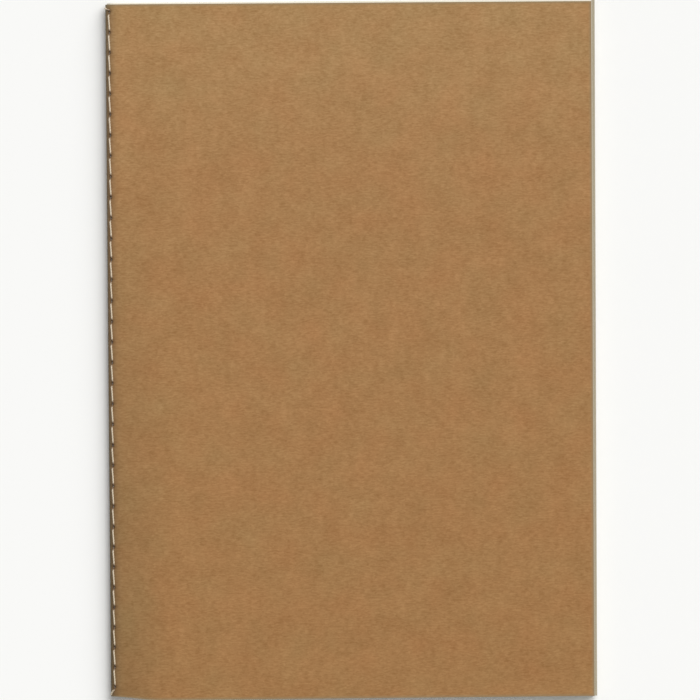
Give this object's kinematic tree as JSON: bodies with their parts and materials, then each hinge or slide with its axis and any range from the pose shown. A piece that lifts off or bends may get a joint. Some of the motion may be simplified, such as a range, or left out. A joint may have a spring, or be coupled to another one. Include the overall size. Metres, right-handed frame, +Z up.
{
  "type": "stitched lined notebook",
  "caption": "Soft-cover notebook of nested lined sheets in a folded kraft cover, sewn along the spine with a row of cream stitches; opens flat at its centre spread.",
  "frame": {"origin": "middle of the underside of the closed notebook's box, on the back cover", "axes": "+X from the spine to the fore-edge, +Y to the head, +Z up through the pages"},
  "size_m": [0.1466, 0.2102, 0.0046],
  "materials": {
    "kraft_card": "uncoated brown kraft card",
    "ruled_paper": "uncoated cream writing paper with pale ruled lines",
    "sewing_thread": "twisted natural cotton thread"
  },
  "bodies": {
    "back_cover": {"back_cover": "kraft_card"},
    "front_cover": {"front_cover": "kraft_card"},
    "spine": {"cover_spine": "kraft_card", "needle_thread": "sewing_thread", "bobbin_thread": "sewing_thread", "sheet_fold_01": "ruled_paper", "sheet_fold_02": "ruled_paper", "sheet_fold_03": "ruled_paper", "sheet_fold_04": "ruled_paper", "sheet_fold_05": "ruled_paper", "sheet_fold_06": "ruled_paper", "sheet_fold_07": "ruled_paper", "sheet_fold_08": "ruled_paper", "sheet_fold_09": "ruled_paper", "sheet_fold_10": "ruled_paper", "sheet_fold_11": "ruled_paper", "sheet_fold_12": "ruled_paper"},
    "back_leaf_01": {"back_leaf_01": "ruled_paper"},
    "front_leaf_01": {"front_leaf_01": "ruled_paper"},
    "back_leaf_02": {"back_leaf_02": "ruled_paper"},
    "front_leaf_02": {"front_leaf_02": "ruled_paper"},
    "back_leaf_03": {"back_leaf_03": "ruled_paper"},
    "front_leaf_03": {"front_leaf_03": "ruled_paper"},
    "back_leaf_04": {"back_leaf_04": "ruled_paper"},
    "front_leaf_04": {"front_leaf_04": "ruled_paper"},
    "back_leaf_05": {"back_leaf_05": "ruled_paper"},
    "front_leaf_05": {"front_leaf_05": "ruled_paper"},
    "back_leaf_06": {"back_leaf_06": "ruled_paper"},
    "front_leaf_06": {"front_leaf_06": "ruled_paper"},
    "back_leaf_07": {"back_leaf_07": "ruled_paper"},
    "front_leaf_07": {"front_leaf_07": "ruled_paper"},
    "back_leaf_08": {"back_leaf_08": "ruled_paper"},
    "front_leaf_08": {"front_leaf_08": "ruled_paper"},
    "back_leaf_09": {"back_leaf_09": "ruled_paper"},
    "front_leaf_09": {"front_leaf_09": "ruled_paper"},
    "back_leaf_10": {"back_leaf_10": "ruled_paper"},
    "front_leaf_10": {"front_leaf_10": "ruled_paper"},
    "back_leaf_11": {"back_leaf_11": "ruled_paper"},
    "front_leaf_11": {"front_leaf_11": "ruled_paper"},
    "back_leaf_12": {"back_leaf_12": "ruled_paper"},
    "front_leaf_12": {"front_leaf_12": "ruled_paper"}
  },
  "joints": [
    {"name": "front_cover_hinge", "type": "hinge", "parent": "back_cover", "child": "front_cover", "pos_m": [-0.07187, 0, 0.00225], "axis": [0, -1, 0], "range_deg": [0, 179], "deforming": ["cover_spine", "sheet_fold_01", "sheet_fold_02", "sheet_fold_03", "sheet_fold_04", "sheet_fold_05", "sheet_fold_06", "sheet_fold_07", "sheet_fold_08", "sheet_fold_09", "sheet_fold_10", "sheet_fold_11", "sheet_fold_12"]},
    {"name": "spine_turn", "type": "hinge", "parent": "back_cover", "child": "spine", "pos_m": [-0.07187, 0, 0.00225], "axis": [0, -1, 0], "range_deg": [0, 89.5]},
    {"name": "back_leaf_01_lift", "type": "hinge", "parent": "back_cover", "child": "back_leaf_01", "pos_m": [-0.07187, 0, 0.00225], "axis": [0, -1, 0], "range_deg": [0, 0.375]},
    {"name": "front_leaf_01_turn", "type": "hinge", "parent": "back_leaf_01", "child": "front_leaf_01", "pos_m": [-0.07187, 0, 0.00225], "axis": [0, -1, 0], "range_deg": [0, 178.25]},
    {"name": "back_leaf_02_lift", "type": "hinge", "parent": "back_cover", "child": "back_leaf_02", "pos_m": [-0.07187, 0, 0.00225], "axis": [0, -1, 0], "range_deg": [0, 0.75]},
    {"name": "front_leaf_02_turn", "type": "hinge", "parent": "back_leaf_02", "child": "front_leaf_02", "pos_m": [-0.07187, 0, 0.00225], "axis": [0, -1, 0], "range_deg": [0, 177.5]},
    {"name": "back_leaf_03_lift", "type": "hinge", "parent": "back_cover", "child": "back_leaf_03", "pos_m": [-0.07187, 0, 0.00225], "axis": [0, -1, 0], "range_deg": [0, 1.12]},
    {"name": "front_leaf_03_turn", "type": "hinge", "parent": "back_leaf_03", "child": "front_leaf_03", "pos_m": [-0.07187, 0, 0.00225], "axis": [0, -1, 0], "range_deg": [0, 176.75]},
    {"name": "back_leaf_04_lift", "type": "hinge", "parent": "back_cover", "child": "back_leaf_04", "pos_m": [-0.07187, 0, 0.00225], "axis": [0, -1, 0], "range_deg": [0, 1.5]},
    {"name": "front_leaf_04_turn", "type": "hinge", "parent": "back_leaf_04", "child": "front_leaf_04", "pos_m": [-0.07187, 0, 0.00225], "axis": [0, -1, 0], "range_deg": [0, 176]},
    {"name": "back_leaf_05_lift", "type": "hinge", "parent": "back_cover", "child": "back_leaf_05", "pos_m": [-0.07187, 0, 0.00225], "axis": [0, -1, 0], "range_deg": [0, 1.88]},
    {"name": "front_leaf_05_turn", "type": "hinge", "parent": "back_leaf_05", "child": "front_leaf_05", "pos_m": [-0.07187, 0, 0.00225], "axis": [0, -1, 0], "range_deg": [0, 175.25]},
    {"name": "back_leaf_06_lift", "type": "hinge", "parent": "back_cover", "child": "back_leaf_06", "pos_m": [-0.07187, 0, 0.00225], "axis": [0, -1, 0], "range_deg": [0, 2.25]},
    {"name": "front_leaf_06_turn", "type": "hinge", "parent": "back_leaf_06", "child": "front_leaf_06", "pos_m": [-0.07187, 0, 0.00225], "axis": [0, -1, 0], "range_deg": [0, 174.5]},
    {"name": "back_leaf_07_lift", "type": "hinge", "parent": "back_cover", "child": "back_leaf_07", "pos_m": [-0.07187, 0, 0.00225], "axis": [0, -1, 0], "range_deg": [0, 2.62]},
    {"name": "front_leaf_07_turn", "type": "hinge", "parent": "back_leaf_07", "child": "front_leaf_07", "pos_m": [-0.07187, 0, 0.00225], "axis": [0, -1, 0], "range_deg": [0, 173.75]},
    {"name": "back_leaf_08_lift", "type": "hinge", "parent": "back_cover", "child": "back_leaf_08", "pos_m": [-0.07187, 0, 0.00225], "axis": [0, -1, 0], "range_deg": [0, 3]},
    {"name": "front_leaf_08_turn", "type": "hinge", "parent": "back_leaf_08", "child": "front_leaf_08", "pos_m": [-0.07187, 0, 0.00225], "axis": [0, -1, 0], "range_deg": [0, 173]},
    {"name": "back_leaf_09_lift", "type": "hinge", "parent": "back_cover", "child": "back_leaf_09", "pos_m": [-0.07187, 0, 0.00225], "axis": [0, -1, 0], "range_deg": [0, 3.38]},
    {"name": "front_leaf_09_turn", "type": "hinge", "parent": "back_leaf_09", "child": "front_leaf_09", "pos_m": [-0.07187, 0, 0.00225], "axis": [0, -1, 0], "range_deg": [0, 172.25]},
    {"name": "back_leaf_10_lift", "type": "hinge", "parent": "back_cover", "child": "back_leaf_10", "pos_m": [-0.07187, 0, 0.00225], "axis": [0, -1, 0], "range_deg": [0, 3.75]},
    {"name": "front_leaf_10_turn", "type": "hinge", "parent": "back_leaf_10", "child": "front_leaf_10", "pos_m": [-0.07187, 0, 0.00225], "axis": [0, -1, 0], "range_deg": [0, 171.5]},
    {"name": "back_leaf_11_lift", "type": "hinge", "parent": "back_cover", "child": "back_leaf_11", "pos_m": [-0.07187, 0, 0.00225], "axis": [0, -1, 0], "range_deg": [0, 4.12]},
    {"name": "front_leaf_11_turn", "type": "hinge", "parent": "back_leaf_11", "child": "front_leaf_11", "pos_m": [-0.07187, 0, 0.00225], "axis": [0, -1, 0], "range_deg": [0, 170.75]},
    {"name": "back_leaf_12_lift", "type": "hinge", "parent": "back_cover", "child": "back_leaf_12", "pos_m": [-0.07187, 0, 0.00225], "axis": [0, -1, 0], "range_deg": [0, 4.5]},
    {"name": "front_leaf_12_turn", "type": "hinge", "parent": "back_leaf_12", "child": "front_leaf_12", "pos_m": [-0.07187, 0, 0.00225], "axis": [0, -1, 0], "range_deg": [0, 170]}
  ],
  "couplings": [
    {"joint": "spine_turn", "follows": "front_cover_hinge", "ratio": 0.5},
    {"joint": "back_leaf_01_lift", "follows": "front_cover_hinge", "ratio": 0.002095},
    {"joint": "front_leaf_01_turn", "follows": "front_cover_hinge", "ratio": 0.99581},
    {"joint": "back_leaf_02_lift", "follows": "front_cover_hinge", "ratio": 0.0041899},
    {"joint": "front_leaf_02_turn", "follows": "front_cover_hinge", "ratio": 0.99162},
    {"joint": "back_leaf_03_lift", "follows": "front_cover_hinge", "ratio": 0.0062849},
    {"joint": "front_leaf_03_turn", "follows": "front_cover_hinge", "ratio": 0.98743},
    {"joint": "back_leaf_04_lift", "follows": "front_cover_hinge", "ratio": 0.0083799},
    {"joint": "front_leaf_04_turn", "follows": "front_cover_hinge", "ratio": 0.98324},
    {"joint": "back_leaf_05_lift", "follows": "front_cover_hinge", "ratio": 0.010475},
    {"joint": "front_leaf_05_turn", "follows": "front_cover_hinge", "ratio": 0.97905},
    {"joint": "back_leaf_06_lift", "follows": "front_cover_hinge", "ratio": 0.01257},
    {"joint": "front_leaf_06_turn", "follows": "front_cover_hinge", "ratio": 0.97486},
    {"joint": "back_leaf_07_lift", "follows": "front_cover_hinge", "ratio": 0.014665},
    {"joint": "front_leaf_07_turn", "follows": "front_cover_hinge", "ratio": 0.97067},
    {"joint": "back_leaf_08_lift", "follows": "front_cover_hinge", "ratio": 0.01676},
    {"joint": "front_leaf_08_turn", "follows": "front_cover_hinge", "ratio": 0.96648},
    {"joint": "back_leaf_09_lift", "follows": "front_cover_hinge", "ratio": 0.018855},
    {"joint": "front_leaf_09_turn", "follows": "front_cover_hinge", "ratio": 0.96229},
    {"joint": "back_leaf_10_lift", "follows": "front_cover_hinge", "ratio": 0.02095},
    {"joint": "front_leaf_10_turn", "follows": "front_cover_hinge", "ratio": 0.9581},
    {"joint": "back_leaf_11_lift", "follows": "front_cover_hinge", "ratio": 0.023045},
    {"joint": "front_leaf_11_turn", "follows": "front_cover_hinge", "ratio": 0.95391},
    {"joint": "back_leaf_12_lift", "follows": "front_cover_hinge", "ratio": 0.02514},
    {"joint": "front_leaf_12_turn", "follows": "front_cover_hinge", "ratio": 0.94972}
  ]
}
